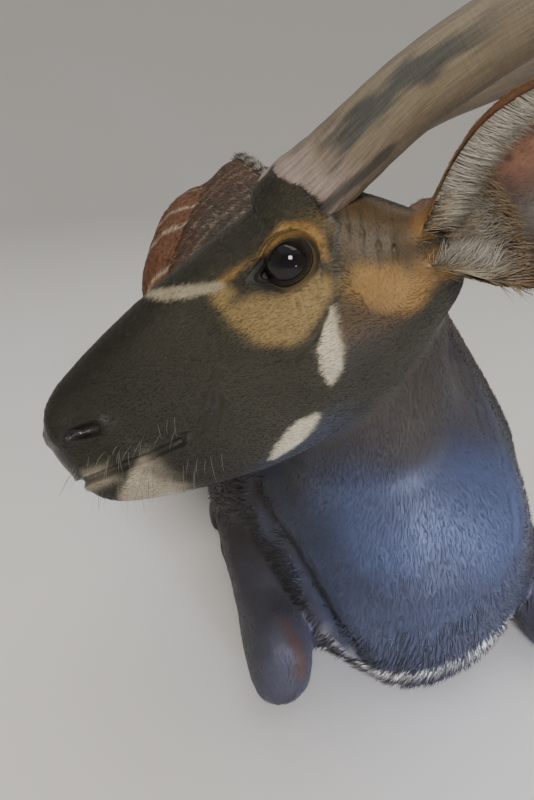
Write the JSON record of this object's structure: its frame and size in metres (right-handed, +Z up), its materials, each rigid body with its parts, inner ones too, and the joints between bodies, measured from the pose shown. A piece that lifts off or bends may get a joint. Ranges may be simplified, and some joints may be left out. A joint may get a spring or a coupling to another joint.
{
  "type": "bongo antelope",
  "caption": "Life-size bull bongo antelope lying at rest on its chest and belly with the legs folded, its head turned to its right; a still model.",
  "frame": {"origin": "centre of the bounding box at the level of the floor that the animal lies on", "axes": "+Y towards the rump, so that the animal's chest faces -Y; +X to the animal's left; +Z up"},
  "size_m": [0.7656, 1.6972, 1.1338],
  "materials": {
    "chestnut_coat": "short smooth fur",
    "dark_coat": "short smooth fur with a slight sheen",
    "face_coat": "very short fur",
    "leg_coat": "short fur",
    "ear_coat": "short fur with a white fringe",
    "horn_surface": "horn, finely grooved lengthwise",
    "hoof_surface": "smooth dark horn",
    "eye_surface": "wet and glossy"
  },
  "bodies": {
    "root": {"torso": "chestnut_coat", "neck": "dark_coat", "head": "face_coat", "eye_left": "eye_surface", "eye_right": "eye_surface", "ear_left": "ear_coat", "ear_right": "ear_coat", "horn_left": "horn_surface", "horn_right": "horn_surface", "tail": "chestnut_coat", "foreleg_left_forearm": "leg_coat", "foreleg_left_cannon": "leg_coat", "foreleg_right_forearm": "leg_coat", "foreleg_right_cannon": "leg_coat", "hindleg_left_thigh": "chestnut_coat", "hindleg_left_shank": "chestnut_coat", "hindleg_left_cannon": "leg_coat", "hindleg_right_thigh": "chestnut_coat", "hindleg_right_shank": "chestnut_coat", "hindleg_right_cannon": "leg_coat", "hoof_fore_left_inner": "hoof_surface", "hoof_fore_left_outer": "hoof_surface", "hoof_fore_right_inner": "hoof_surface", "hoof_fore_right_outer": "hoof_surface", "hoof_hind_left_inner": "hoof_surface", "hoof_hind_left_outer": "hoof_surface", "hoof_hind_right_inner": "hoof_surface", "hoof_hind_right_outer": "hoof_surface"}
  },
  "joints": []
}
